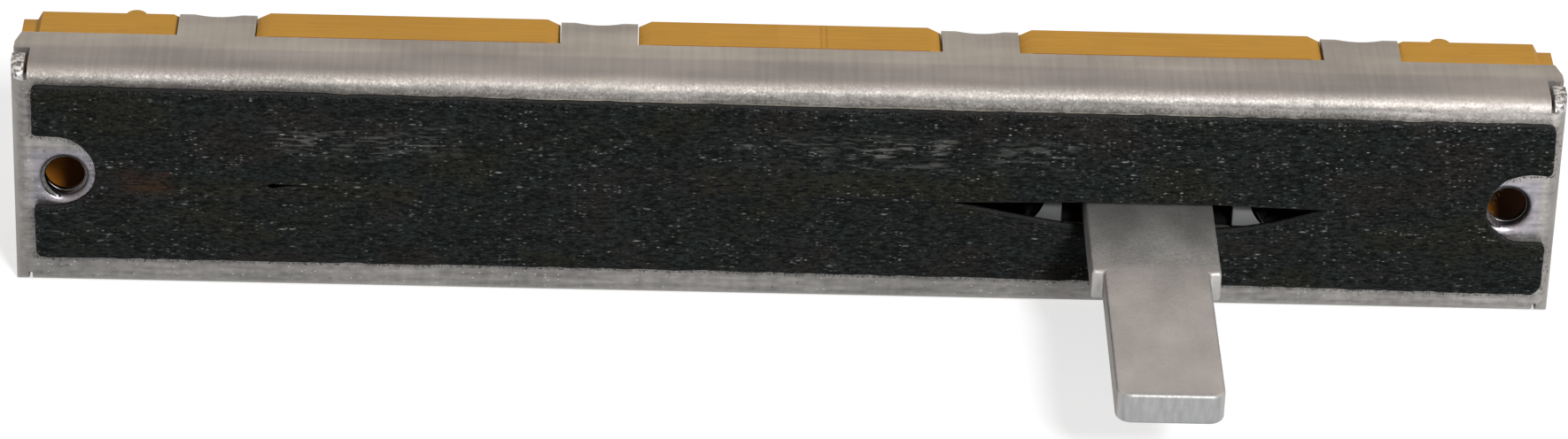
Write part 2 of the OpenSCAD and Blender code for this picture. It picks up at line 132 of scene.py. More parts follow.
# %% [markdown]
# ## Building node trees with few lines
# Every finish below is a small tree of nodes. They could be placed by hand in the shader editor, but a
# script keeps them readable. One helper adds a node, sets its options, and for each named input either
# sets a value or links a socket. The others cover the nodes that come up most, and as a socket knows
# the tree it belongs to, they only need sockets and numbers.

# %% Node helpers
def node(tree, kind, inputs=None, **settings):
    """Adds a node; each input gets a link if its value is a socket, or else the value."""
    made = tree.nodes.new(kind)
    for name, value in settings.items():
        setattr(made, name, value)
    for name, value in (inputs or {}).items():
        if isinstance(value, bpy.types.NodeSocket):
            tree.links.new(value, made.inputs[name])
        else:
            made.inputs[name].default_value = value
    return made


def combine(kind, inputs, **settings):
    """Adds a node to the tree that the first socket among its inputs belongs to."""
    socket = next(v for v in inputs.values() if isinstance(v, bpy.types.NodeSocket))
    return node(socket.id_data, kind, inputs, **settings)


def mixed(share, first, second, blend="MIX"):
    """Socket of a colour that goes from first to second with share."""
    factor, a, b = 0, 6, 7
    inputs = {factor: share, a: first, b: second}
    return combine("ShaderNodeMix", inputs, data_type="RGBA", blend_type=blend).outputs[2]


def tinted(share, colour, tint):
    """Socket of a colour that is multiplied by a tint where share is 1."""
    return mixed(share, colour, tint, "MULTIPLY")


def mapped(value, low, high, to_low=0.0, to_high=1.0):
    """Socket of a value taken from low..high to to_low..to_high, and held there outside."""
    inputs = {"Value": value, "From Min": low, "From Max": high, "To Min": to_low, "To Max": to_high}
    return combine("ShaderNodeMapRange", inputs).outputs["Result"]


def maths(operation, first, second=0.0, clamp=False):
    """Socket of two values combined; plus and times are its two most common cases."""
    inputs = {0: first, 1: second}
    return combine("ShaderNodeMath", inputs, operation=operation, use_clamp=clamp).outputs[0]


def plus(first, second, clamp=False):
    return maths("ADD", first, second, clamp)


def times(first, second, clamp=False):
    return maths("MULTIPLY", first, second, clamp)


print("node helpers ready")

# %% [markdown]
# ## Light and floor
# The photo tells where its lamp stood. Through each screw hole it throws a spot on the board behind,
# low and to the left; the two lines from spot to hole meet half a metre away, above and right of the
# camera. An image of a room could light the part too, but one lamp in the right place puts the photo's
# highlights where they were. Upward faces also reflect a warm room. The floor is white paper: a little
# glow, which lights nothing but is seen by the camera and in metal, lifts it to white and leaves the
# shadow on it.

# %% World and lamp
WORLD_FILL = 0.28
WARM_ROOM = (1.0, 0.91, 0.85, 1)
LAMP_PLACE = Vector((147, -388, 300)) * MM
LAMP_SIZE = 0.08
LAMP_WATTS = 2.6

world = bpy.data.worlds.new("even room")
world.use_nodes = True
scene.world = world
sky = world.node_tree


def seen_directly(tree):
    """1 for rays that come from the camera, straight or by way of metal or glass, else 0."""
    path = node(tree, "ShaderNodeLightPath").outputs
    mirrored = plus(path["Is Glossy Ray"], path["Is Transmission Ray"])
    return plus(path["Is Camera Ray"], mirrored, clamp=True)


background = sky.nodes["Background"].inputs
sky.links.new(mapped(seen_directly(sky), 0, 1, WORLD_FILL, 1.0), background["Strength"])
by_metal = node(sky, "ShaderNodeLightPath").outputs["Is Glossy Ray"]
sky.links.new(mixed(by_metal, (1, 1, 1, 1), WARM_ROOM), background["Color"])

lamp = bpy.data.objects.new("soft lamp", bpy.data.lights.new("soft lamp", "AREA"))
lamp.data.energy = LAMP_WATTS
lamp.data.size = LAMP_SIZE
lamp.location = LAMP_PLACE
lamp.rotation_mode = "QUATERNION"
lamp.rotation_quaternion = (-LAMP_PLACE).to_track_quat("-Z", "Y")
scene.collection.objects.link(lamp)
print("lamp", round(LAMP_PLACE.length / MM), "mm away")

# %% White floor
PAPER_WHITE = 0.42
PAPER_ROUGHNESS = 0.9
FLOOR_GLOW = 0.68
FLOOR_HALF = 1.5
FLOOR_GAP = 0.02 * MM
floor_mesh = bpy.data.meshes.new("floor")
floor_z = cad_box[0].z - FLOOR_GAP
square = ((-1, -1), (1, -1), (1, 1), (-1, 1))
corners = [(x * FLOOR_HALF, y * FLOOR_HALF, floor_z) for x, y in square]
floor_mesh.from_pydata(corners, [], [(0, 1, 2, 3)])
floor = bpy.data.objects.new("floor", floor_mesh)
scene.collection.objects.link(floor)

paper = bpy.data.materials.new("white paper")
paper.use_nodes = True
tree = paper.node_tree
shader = tree.nodes["Principled BSDF"]
shader.inputs["Base Color"].default_value = (PAPER_WHITE, PAPER_WHITE, PAPER_WHITE, 1)
shader.inputs["Roughness"].default_value = PAPER_ROUGHNESS
shader.inputs["Emission Strength"].default_value = FLOOR_GLOW
glow = mixed(seen_directly(tree), (0, 0, 0, 1), (1, 1, 1, 1))
tree.links.new(glow, shader.inputs["Emission Color"])
floor_mesh.materials.append(paper)
print("floor at", round(floor_z / MM, 2), "mm")

# %% [markdown]
# ## Shared effects as node groups
# Plating, felt and plastic all need grain, small specks, hairline scratches and worn edges. Each effect
# is a node group: built once, then placed in a material with that material's own values. Pictures
# would have to be unwrapped round every fold. These read the object's own coordinates in millimetres,
# so a pattern keeps its real scale on any piece.

# %% Start of an effect
VECTOR = ("NodeSocketVector", (1, 1, 1))


def number(default):
    return ("NodeSocketFloat", default)


def effect(name, inputs, output, kind="NodeSocketFloat"):
    """A new group with named inputs of (kind, default) and one output: (tree, its inputs, its output)."""
    tree = bpy.data.node_groups.new(name, "ShaderNodeTree")
    for label, (socket, default) in inputs.items():
        tree.interface.new_socket(label, in_out="INPUT", socket_type=socket).default_value = default
    tree.interface.new_socket(output, in_out="OUTPUT", socket_type=kind)
    return tree, tree.nodes.new("NodeGroupInput").outputs, tree.nodes.new("NodeGroupOutput").inputs[output]


def vectors(operation, first, second):
    """Socket of two vectors combined; SCALE takes a number as its second."""
    key = "Scale" if operation == "SCALE" else 1
    return combine("ShaderNodeVectorMath", {0: first, key: second}, operation=operation).outputs[0]


def own_mm(tree, stretch=(1, 1, 1)):
    """The object's own coordinates in millimetres, stretched along the axes."""
    own = node(tree, "ShaderNodeTexCoord").outputs["Object"]
    return vectors("SCALE", vectors("MULTIPLY", own, stretch), 1 / MM)


def use(tree, name, **inputs):
    """Places a shared effect in a material; underscores in an input's name stand for spaces."""
    values = {label.replace("_", " "): value for label, value in inputs.items()}
    return node(tree, "ShaderNodeGroup", values, node_tree=bpy.data.node_groups[name]).outputs[0]


print("effects can be built")

# %% Grain, specks and scratches
DOT_CORE, DOT_RIM = 0.1, 0.42


def cloudy(at, per_mm, detail):
    """Socket of a noise's value at a place, with so many features per millimetre."""
    return combine("ShaderNodeTexNoise", {"Vector": at, "Scale": per_mm, "Detail": detail}).outputs[0]


tree, given, out = effect("grain", {"Stretch": VECTOR, "Per mm": number(4), "Detail": number(3)}, "Value")
at = own_mm(tree, given["Stretch"])
tree.links.new(cloudy(at, given["Per mm"], given["Detail"]), out)

tree, given, out = effect("specks", {"Stretch": VECTOR, "Per mm": number(5), "Share": number(0.1)}, "Mask")
at = own_mm(tree, given["Stretch"])
cells = node(tree, "ShaderNodeTexVoronoi", {"Vector": at, "Scale": given["Per mm"]}).outputs
luck = node(tree, "ShaderNodeSeparateColor", {"Color": cells["Color"]}).outputs["Red"]
chosen = maths("LESS_THAN", luck, given["Share"])
dot = mapped(cells["Distance"], DOT_CORE, DOT_RIM, 1, 0)
tree.links.new(times(chosen, dot), out)

kinds = {"Stretch": VECTOR, "Per mm": number(1), "Width": number(0.01)}
tree, given, out = effect("scratches", kinds, "Mask")
at = own_mm(tree, given["Stretch"])
wave = cloudy(at, given["Per mm"], 1)
off_line = maths("ABSOLUTE", maths("SUBTRACT", wave, 0.5))
tree.links.new(mapped(off_line, 0, given["Width"], 1, 0), out)
print("effects:", [g.name for g in bpy.data.node_groups])

# %% [markdown]
# Three more effects: an edge mask compares the true normal with one that is rounded over the edge. A
# zone is a soft-edged box that limits a stain or a mark to one place. Flakes tilt the surface a little
# in each small cell, as crystals in a plating do, so that a highlight breaks up into sparkles.

# %% Edge wear, zone and flakes
FLAT_COSINE, EDGE_COSINE = 0.98, 0.8
RUB_SOFT, RUB_PER_MM = 0.12, 2.5
tree, given, out = effect("edge wear", {"Radius mm": number(0.08), "Break up": number(0.5)}, "Mask")
radius = times(given["Radius mm"], MM)
rounded = node(tree, "ShaderNodeBevel", {"Radius": radius}, samples=6).outputs["Normal"]
plain = node(tree, "ShaderNodeNewGeometry").outputs["Normal"]
agree = node(tree, "ShaderNodeVectorMath", {0: rounded, 1: plain}, operation="DOT_PRODUCT").outputs["Value"]
edge = mapped(agree, FLAT_COSINE, EDGE_COSINE)
rub = cloudy(own_mm(tree), RUB_PER_MM, 4)
low_rub = plus(given["Break up"], -RUB_SOFT)
high_rub = plus(given["Break up"], RUB_SOFT)
tree.links.new(times(edge, mapped(rub, low_rub, high_rub)), out)

tree, given, out = effect("zone", {"Low": VECTOR, "High": VECTOR, "Soft": number(0.2)}, "Mask")
at = own_mm(tree)
steep = maths("DIVIDE", 1.0, given["Soft"])
rise = vectors("SCALE", vectors("SUBTRACT", at, given["Low"]), steep)
fall = vectors("SCALE", vectors("SUBTRACT", given["High"], at), steep)
inner = vectors("MINIMUM", rise, fall)
parts = node(tree, "ShaderNodeSeparateXYZ", {0: inner}).outputs
least = maths("MINIMUM", maths("MINIMUM", parts[0], parts[1]), parts[2])
tree.links.new(mapped(least, 0, 1), out)

kinds = {"Per mm": number(9), "Tilt": number(0.2)}
tree, given, out = effect("flakes", kinds, "Normal", "NodeSocketVector")
cells = node(tree, "ShaderNodeTexVoronoi", {"Vector": own_mm(tree), "Scale": given["Per mm"]}).outputs
chance = vectors("SUBTRACT", cells["Color"], (0.5, 0.5, 0.5))
tilt = vectors("SCALE", chance, given["Tilt"])
plain = node(tree, "ShaderNodeNewGeometry").outputs["Normal"]
leaning = vectors("ADD", plain, tilt)
tree.links.new(node(tree, "ShaderNodeVectorMath", {0: leaning}, operation="NORMALIZE").outputs[0], out)
print("effects:", [g.name for g in bpy.data.node_groups])

# %% [markdown]
# ## Finishes
# Each finish starts from a Principled shader whose constant values are set on its own sockets. What
# changes over the surface, such as colour, roughness and small relief, is linked from the effects. A
# zone takes a range in millimetres along each axis, and one that isn't given reaches past the part.

# %% Start of a finish
def finish(name, **constants):
    """A new material: (material, tree, Principled shader) with constant sockets set."""
    material = bpy.data.materials.new(name)
    material.use_nodes = True
    shader = material.node_tree.nodes["Principled BSDF"]
    for label, value in constants.items():
        shader.inputs[label.replace("_", " ")].default_value = value
    return material, material.node_tree, shader


def wire(tree, shader, colour, roughness, height=None, depth_mm=0.0, normal=None):
    """Links colour, roughness and a relief of the given depth, on a given normal, to the shader."""
    tree.links.new(colour, shader.inputs["Base Color"])
    tree.links.new(roughness, shader.inputs["Roughness"])
    if height is not None:
        inputs = {"Height": height, "Distance": depth_mm * MM}
        if normal is not None:
            inputs["Normal"] = normal
        relief = node(tree, "ShaderNodeBump", inputs).outputs["Normal"]
        tree.links.new(relief, shader.inputs["Normal"])


def grey(value, warm=0.0):
    """A grey, or a grey with its blue lowered by warm."""
    return (value, value * (1 - warm / 2), value * (1 - warm), 1)


def tell(material):
    print(material.name, "has", len(material.node_tree.nodes), "nodes")


print("finish helpers ready")

# %% Grain, specks and zones for a finish
FAR = 60
WIDE = (-FAR, FAR)


def grain(tree, per_mm, detail, stretch=(1, 1, 1)):
    """Noise value; a stretch below 1 draws the pattern out along that axis."""
    return use(tree, "grain", Per_mm=per_mm, Detail=detail, Stretch=stretch)


def specks(tree, per_mm, share, stretch=(1, 1, 1)):
    """Mask of dots in a share of small cells."""
    return use(tree, "specks", Per_mm=per_mm, Share=share, Stretch=stretch)


def zone(tree, x=WIDE, y=WIDE, z=WIDE, soft=0.2):
    """Mask of a box whose sides fade over soft millimetres."""
    low, high = zip(x, y, z)
    return use(tree, "zone", Low=low, High=high, Soft=soft)


def around(middle, half):
    """Range of half on each side of the middle."""
    return (middle - half, middle + half)


print("a zone reaches", FAR, "mm where no range is given")

# %% [markdown]
# ### Plated steel
# The case is sheet steel with a satin zinc plating. Its crystals break the lamp's reflection on the long
# bend into a band of sparkles; on the flat walls they only blur it. Rolling leaves faint lines across
# the strip, and slow stains run along it.

# %% Plated steel
plated_steel, tree, shader = finish("plated steel", Metallic=1.0)
skin = grain(tree, 12, 2)
lines = grain(tree, 5, 3, (1, 0.04, 0.04))
stains = grain(tree, 0.4, 5, (0.3, 1, 1))
tone = plus(times(lines, 0.24), times(stains, 0.76))
steel = mixed(mapped(tone, 0.36, 0.64), grey(0.235, 0.09), grey(0.34, 0.09))
# painted reflection: the outer half of the long wall is lightened in colour
outside = zone(tree, y=(1.85, FAR), z=(4.5, FAR), soft=0.45)
steel = tinted(outside, steel, (1.28, 1.28, 1.2, 1))
tell(plated_steel)

# %% [markdown]
# The front face is tinted darker than the walls as painted shade, and wear has left streaks along the
# strip. Painted light makes it paler towards its right end, above the felt, and on the margin between
# the felt and the bend.

# %% Front of the steel: wear, painted shade and painted light
front = zone(tree, y=(-FAR, 0.22), soft=0.2)
painted_light_right_end = times(zone(tree, x=(5, FAR), soft=25.0), front)
painted_light_above_felt = zone(tree, y=(-FAR, 0.6), z=(3.7, FAR), soft=0.3)
past_left = zone(tree, x=(-27, FAR), soft=16.0)
painted_light_margin = times(zone(tree, y=(-FAR, 0.14), z=(3.6, 4.24), soft=0.12), past_left)
# painted shade: the whole front face is darkened against the walls
steel = tinted(front, steel, (0.74, 0.755, 0.765, 1))
# painted light: the right end, the band above the felt and the margin below the bend are lightened
for area, gain in ((painted_light_right_end, grey(1.3)), (painted_light_above_felt, grey(1.16, 0.02)), (painted_light_margin, grey(1.6))):
    steel = tinted(area, steel, gain)
streaks = grain(tree, 5, 3, (0.06, 1, 1))
mottle = grain(tree, 4, 4, (0.5, 1, 1))
rough_look = times(plus(streaks, mottle), 0.5)
uneven = mixed(mapped(rough_look, 0.36, 0.64), grey(0.72), grey(1.25))
steel = tinted(front, steel, uneven)
tell(plated_steel)

# %% [markdown]
# Drawing the screw holes has polished the metal round them. Their bores are darkened as painted shade,
# and their mouths get a violet tint as a painted reflection. Small pits and bright sparks mark where the
# plating is scratched. The shears leave bright, torn end lips, and the bending tool leaves a rougher band
# along the bend.

# %% Screw holes in the steel
hole = frame["record"]["mounts"][0]["dims"]
HOLE_X = hole["spacing_x_mm"] / 2
HOLE_R = hole["hole_r_mm"]
DRAWN_HALF, MOUTH_HALF, BORE_HALF = 1.65, 1.4, 1.15
polished = 0.0
# painted shade darkens each bore, and a violet painted reflection tints each mouth
for x in (-HOLE_X, HOLE_X):
    drawn = zone(tree, around(x, DRAWN_HALF), (-FAR, 0.3), (-1.4, 2.0), soft=0.3)
    mouth = zone(tree, around(x, MOUTH_HALF), (-FAR, 1), around(0, MOUTH_HALF), soft=0.3)
    bore = zone(tree, around(x, BORE_HALF), (0.01, 1), around(0, BORE_HALF), soft=0.15)
    for area, tint in ((drawn, grey(1.3)), (mouth, (0.94, 0.92, 1.05, 1)), (bore, grey(0.4))):
        steel = tinted(area, steel, tint)
    polished = maths("MAXIMUM", polished, mouth)
print("screw holes at x =", (-HOLE_X, HOLE_X), "with radius", HOLE_R, "mm")

# %% Pits, sparks and edges of the steel
LIP_X = 29.45
pits = specks(tree, 4, 0.05)
sparks = specks(tree, 13, 0.06, (0.6, 1, 1))
for marks, share, tone in ((pits, 0.5, grey(0.08)), (sparks, 0.6, grey(0.7))):
    steel = mixed(times(times(marks, share), front), steel, tone)
# edge wear, partly rubbed plating and partly a painted highlight along edges that stay sharp
edge_mask = use(tree, "edge wear", Radius_mm=0.1, Break_up=0.45)
steel = mixed(times(edge_mask, 0.4), steel, grey(0.5, 0.05))
torn = mapped(grain(tree, 6, 4), 0.42, 0.6)
torn = mixed(torn, grey(0.1), grey(0.75))
for lip_range in ((-FAR, -LIP_X), (LIP_X, FAR)):
    lip = zone(tree, lip_range, (-FAR, 1.4), (4.2, FAR), soft=0.05)
    steel = mixed(times(lip, 0.7), steel, torn)
satin = mapped(plus(skin, stains), 0.7, 1.3, 0.48, 0.62)
satin = plus(satin, times(polished, -0.2))
bend = zone(tree, y=(0.05, 1.1), z=(4.1, FAR), soft=0.2)
satin = plus(satin, times(bend, 0.12))
tilt = mapped(polished, 0, 1, 0.16, 0.01)
wire(tree, shader, steel, satin, skin, 0.006, use(tree, "flakes", Per_mm=14.0, Tilt=tilt))
tell(plated_steel)

# %% [markdown]
# ### Lever metal
# The lever is tumbled after stamping, so its plating is duller than the case's, with soft blotches and
# rubbed edges where a knob was pressed on; the rubbed edges also carry painted highlights. Its root is
# grainier, darker in patches and a little cooler. Its left side is darker than its faces by painted shade,
# and the cut end face is cooler than the rolled ones.

# %% Lever metal
STEP_IN = 0.45
SIDE_DEPTH = 0.07
ROOT_Y, WIDE_Y, NARROW_Y, END_Y = -5.7, -5.8, -5.9, -14.8
lever_low, lever_high = place("lever")
lever_metal, tree, shader = finish("lever metal", Metallic=1.0)
skin = grain(tree, 9, 4)
blotch = grain(tree, 0.6, 5, (1, 0.6, 1))
dull = mixed(mapped(blotch, 0.32, 0.68), grey(0.375, 0.03), grey(0.44, 0.03))
root = zone(tree, y=(ROOT_Y, FAR), soft=0.5)
# the root is darker in grainy patches and a little cooler
darker_root_patches = times(root, mapped(skin, 0.4, 0.6))
dull = mixed(times(darker_root_patches, 0.6), dull, grey(0.24))
dull = tinted(root, dull, (0.98, 1.02, 1.03, 1))
# painted shade on the left side of the wide part and of the narrow blade
for left, length in ((lever_low[0], (WIDE_Y, FAR)), (lever_low[0] + STEP_IN, (-FAR, NARROW_Y))):
    side = zone(tree, x=(left - 1, left + SIDE_DEPTH), y=length, soft=0.06)
    dull = tinted(side, dull, (0.62, 0.6, 0.58, 1))
hairlines = use(tree, "scratches", Stretch=(2.2, 0.12, 1), Per_mm=1.6, Width=0.012)
dull = mixed(times(hairlines, 0.15), dull, grey(0.5))
end_face = zone(tree, y=(-FAR, END_Y), soft=0.08)
cut_lines = grain(tree, 4, 3, (1, 1, 0.3))
frost = mixed(mapped(cut_lines, 0.3, 0.7), (0.29, 0.297, 0.298, 1), (0.37, 0.378, 0.38, 1))
dull = mixed(end_face, dull, frost)
# edge wear, partly rubbed plating and partly painted highlights: broken glints along the tip's edges
edge_mask = use(tree, "edge wear", Radius_mm=0.16, Break_up=0.6)
dull = mixed(times(edge_mask, 0.8), dull, grey(0.8, 0.1))
satin = mapped(plus(skin, blotch), 0.7, 1.3, 0.5, 0.62)
wire(tree, shader, dull, satin, skin, 0.01, use(tree, "flakes", Per_mm=14.0, Tilt=0.07))
tell(lever_metal)

# %% [markdown]
# ### Black felt
# Pressed felt is a mat of short fibres that mostly lie along the strip. Noise stretched along X gives
# the dark and paler strands, specks give the fibre ends that catch the light. Slow noise tints it
# olive here and brown there. Zones hold what use has left: two olive streaks along the slit, a rust
# stain, patches that are rubbed pale, and more loose ends towards the right.

# %% Black felt
FELT_DEPTH = (-1, 1)
black_felt, tree, shader = finish(
    "black felt", Sheen_Weight=0.04, Sheen_Roughness=0.6, Specular_IOR_Level=0.05,
)
strands = grain(tree, 11, 5, (0.35, 1, 1))
nap = grain(tree, 17, 2, (0.6, 1, 1))
tufts = grain(tree, 1.6, 4, (0.4, 1, 1))
rubbed = grain(tree, 0.8, 4, (0.2, 1, 1))
tint = grain(tree, 0.42, 4, (0.5, 1, 1))
deep, top = (0.002, 0.0029, 0.0028, 1), (0.0145, 0.0178, 0.0172, 1)
black = mixed(mapped(strands, 0.38, 0.66), deep, top)
lit = mapped(strands, 0.35, 0.6, 0, 0.6)
olive = times(mapped(tint, 0.54, 0.64), lit)
black = mixed(olive, black, (0.0145, 0.0137, 0.0065, 1))
brown = times(mapped(tint, 0.46, 0.36), lit)
black = mixed(brown, black, (0.0185, 0.013, 0.011, 1))
shade = mixed(mapped(nap, 0.3, 0.7), grey(0.45), grey(1.6))
black = tinted(1.0, black, shade)
near_lever = zone(tree, (-4, 5.5), FELT_DEPTH, (0.0, 1.5), soft=0.5)
near_end = zone(tree, (-25.5, -14), FELT_DEPTH, (-0.7, 0.5), soft=0.5)
dyed = maths("MAXIMUM", near_lever, near_end)
dyed = times(dyed, mapped(rubbed, 0.36, 0.56, 0.4, 1.0))
black = mixed(times(dyed, lit), black, (0.022, 0.0185, 0.009, 1))
rust = zone(tree, (-26.0, -23.7), FELT_DEPTH, (-0.4, 0.75), soft=0.55)
rust = times(rust, mapped(tufts, 0.36, 0.54, 0.35, 1.0))
rust = times(rust, mapped(strands, 0.35, 0.65, 0.15, 0.85))
black = mixed(rust, black, (0.062, 0.021, 0.006, 1))
tell(black_felt)

# %% Pale fibre ends in the felt
RUBBED_PATCHES = (((-20.5, -12.5), 0.45), ((-2.4, 2), 0.5), ((2, 6.6), 1.0), ((7.4, 11.4), 0.55))
RUBBED_Z = (1.2, 3.0)
FIBRE_END, RUBBED_STREAK = (0.27, 0.275, 0.262, 1), (0.19, 0.19, 0.175, 1)
pale_strip = 0.0
for length, strength in RUBBED_PATCHES:
    patch = zone(tree, x=length, z=RUBBED_Z, soft=0.9)
    pale_strip = maths("MAXIMUM", pale_strip, times(patch, strength))
pale_strip = times(pale_strip, mapped(rubbed, 0.36, 0.56, 0.35, 1.0))
coarse = specks(tree, 8, 0.12, (0.3, 1, 1))
fine = specks(tree, 13, 0.22, (0.4, 1, 1))
ends = maths("MAXIMUM", times(coarse, 0.8), fine)
ends = times(ends, mapped(strands, 0.4, 0.58))
in_tufts = mapped(tufts, 0.46, 0.66, 0.03, 1.0)
caught = plus(in_tufts, times(pale_strip, 0.7))
right_half = zone(tree, x=(4, FAR), z=(-1.5, FAR), soft=5.0)
caught = plus(caught, times(right_half, 0.35))
black = mixed(times(ends, caught, clamp=True), black, FIBRE_END)
dashes = grain(tree, 9, 3, (0.15, 1, 1))
streak = times(pale_strip, mapped(dashes, 0.51, 0.66))
black = mixed(times(streak, 0.9), black, RUBBED_STREAK)
fuzz = mapped(tufts, 0.3, 0.7, 0.88, 1.0)
wire(tree, shader, black, fuzz, plus(strands, tufts), 0.06)
tell(black_felt)

# %% Single felt fibres
felt_fibre, tree, shader = finish("felt fibre", Sheen_Weight=0.1, Specular_IOR_Level=0.2)
shade = grain(tree, 1.4, 3)
pale = mapped(shade, 0.5, 0.74)
thread_grey = mixed(pale, (0.006, 0.0075, 0.0075, 1), (0.12, 0.124, 0.12, 1))
wire(tree, shader, thread_grey, mapped(shade, 0.3, 0.7, 0.7, 0.9))
tell(felt_fibre)

# %% [markdown]
# ### Phenolic paper
# The resistor board is layers of paper pressed with brown resin and punched out. Its cut edges show the
# layers as fine lines along the strip, its faces a mottled amber. Near the middle of the upper edge the
# panel's joint left a paler patch between two thin lines. The inner face has a darker varnish, darkened
# further as painted shade inside the case, and more painted shade darkens it near each screw hole.

# %% Phenolic paper
BOARD_DEPTH, BOARD_TOP = (3, 6), (4, FAR)
HOLE_SHADE_TINTS = ((-28.5, (0.4, 0.35, 0.38, 1)), (27.75, (0.2, 0.18, 0.2, 1)))
HOLE_SHADE_LENGTH = 3
phenolic_paper, tree, shader = finish("phenolic paper", Specular_IOR_Level=0.15)
layers = grain(tree, 5, 3, (0.05, 1.6, 0.3))
mottle = grain(tree, 0.5, 4)
tone = plus(times(layers, 0.6), times(mottle, 0.4))
amber = mixed(mapped(tone, 0.36, 0.64), (0.47, 0.237, 0.032, 1), (0.555, 0.285, 0.047, 1))
pulp = specks(tree, 3, 0.12, (0.5, 1, 1))
amber = mixed(times(pulp, 0.25), amber, (0.36, 0.165, 0.02, 1))
joint = zone(tree, (-0.5, 1.3), BOARD_DEPTH, BOARD_TOP, soft=0.12)
amber = tinted(joint, amber, (1.06, 1.05, 1.2, 1))
for line_x in (1.2, 1.42):
    line = zone(tree, around(line_x, 0.06), BOARD_DEPTH, BOARD_TOP, soft=0.06)
    amber = tinted(line, amber, (0.78, 0.74, 0.7, 1))
# darker varnish on the inner face, deepened by painted shade inside the case
inner_face_varnish_and_shade = zone(tree, y=(2.9, 3.12), soft=0.04)
amber = tinted(inner_face_varnish_and_shade, amber, (0.5, 0.34, 0.19, 1))
# painted shade on the inner face near each screw hole
for start, shade_tint in HOLE_SHADE_TINTS:
    hole_shade = zone(tree, x=(start, start + HOLE_SHADE_LENGTH), y=(2, 4.2), soft=0.4)
    amber = tinted(times(hole_shade, inner_face_varnish_and_shade), amber, shade_tint)
punched = use(tree, "edge wear", Radius_mm=0.1, Break_up=0.5)
amber = mixed(times(punched, 0.3), amber, (0.62, 0.38, 0.11, 1))
wire(tree, shader, amber, mapped(tone, 0.35, 0.65, 0.5, 0.64), layers, 0.012)
tell(phenolic_paper)

# %% [markdown]
# ### Moulded plastic, film, prints and small metals
# The carriage is grey acetal, which lets a little light into itself. Its left ear is darkened by a painted
# shadow of the lever, and behind the faces of both ears it is painted near black as shade. The film is
# glue, yellowed and dusty. Carbon and silver are screen prints with a rough, grainy skin. The wiper is
# bright bronze strip, the terminals and their rivets are tinned brass, and the tap has left cut steel in
# the screw holes, its colour darkened as painted shade.

# %% Carriage plastic
grey_plastic, tree, shader = finish(
    "grey plastic", Subsurface_Weight=0.05, Subsurface_Radius=(0.0002, 0.0002, 0.0002),
    Subsurface_Scale=1.0, Specular_IOR_Level=0.12,
)
flow = grain(tree, 0.8, 3, (0.4, 1, 1))
skin = grain(tree, 6, 2)
milk = mixed(mapped(flow, 0.35, 0.65), (0.115, 0.118, 0.118, 1), (0.15, 0.153, 0.152, 1))
front_clear_of_painted_shade = zone(tree, y=(-FAR, 0.22), soft=0.1)
# painted shadow of the lever on the left ear
shaded = zone(tree, x=(-FAR, 13.5), soft=0.5)
milk = tinted(shaded, milk, grey(0.72))
# painted shade: near black behind the faces of the ears
milk = mixed(front_clear_of_painted_shade, (0.0025, 0.0022, 0.002, 1), milk)
shine = mapped(skin, 0.3, 0.7, 0.4, 0.53)
matt = maths("SUBTRACT", 0.95, times(front_clear_of_painted_shade, shine))
wire(tree, shader, milk, matt, skin, 0.003)
tell(grey_plastic)

# %% Glue film
adhesive_film, tree, shader = finish("adhesive film", Coat_Weight=0.2)
ripple = grain(tree, 2, 3, (0.6, 1, 1))
glue = mixed(mapped(ripple, 0.35, 0.65), (0.13, 0.12, 0.1, 1), (0.22, 0.2, 0.16, 1))
wire(tree, shader, glue, mapped(ripple, 0.3, 0.7, 0.3, 0.5), ripple, 0.01)
tell(adhesive_film)

# %% Carbon and silver prints
carbon_print, tree, shader = finish("carbon print")
ink = grain(tree, 9, 3)
trails = use(tree, "scratches", Stretch=(0.02, 1, 3), Per_mm=2.0, Width=0.05)
soot = mixed(ink, (0.012, 0.012, 0.013, 1), (0.03, 0.03, 0.032, 1))
soot = mixed(times(trails, 0.5), soot, (0.06, 0.06, 0.062, 1))
wire(tree, shader, soot, mapped(ink, 0.3, 0.7, 0.4, 0.6), ink, 0.004)

silver_print, tree, shader = finish("silver print", Metallic=0.8)
ink = grain(tree, 8, 4)
flake = mixed(ink, (0.45, 0.44, 0.42, 1), (0.62, 0.61, 0.59, 1))
wire(tree, shader, flake, mapped(ink, 0.3, 0.7, 0.42, 0.6), ink, 0.006)
tell(carbon_print)
tell(silver_print)

# %% Bronze strip and tinned brass
spring_bronze, tree, shader = finish("spring bronze", Metallic=1.0)
rolled = grain(tree, 7, 2, (0.08, 1, 1))
gold = mixed(rolled, (0.56, 0.36, 0.16, 1), (0.68, 0.46, 0.23, 1))
wire(tree, shader, gold, mapped(rolled, 0.3, 0.7, 0.22, 0.34), rolled, 0.003)

tinned_brass, tree, shader = finish("tinned brass", Metallic=1.0)
frost = grain(tree, 5, 3)
dull = grain(tree, 0.9, 3)
edge_mask = use(tree, "edge wear", Radius_mm=0.08, Break_up=0.6)
tin = mixed(mapped(dull, 0.35, 0.65), (0.46, 0.45, 0.43, 1), (0.6, 0.59, 0.57, 1))
tin = mixed(times(edge_mask, 0.4), tin, (0.62, 0.47, 0.26, 1))
wire(tree, shader, tin, mapped(frost, 0.3, 0.7, 0.26, 0.42), frost, 0.006)
tell(spring_bronze)
tell(tinned_brass)

# %% Freshly cut steel
cut_steel, tree, shader = finish("cut steel", Metallic=1.0)
chatter = grain(tree, 8, 3)
# painted shade: the threads' steel is darkened to the shade inside the bores
painted_dark_steel = mixed(mapped(chatter, 0.35, 0.65), grey(0.07), grey(0.15))
wire(tree, shader, painted_dark_steel, mapped(chatter, 0.3, 0.7, 0.2, 0.32), chatter, 0.004)
tell(cut_steel)

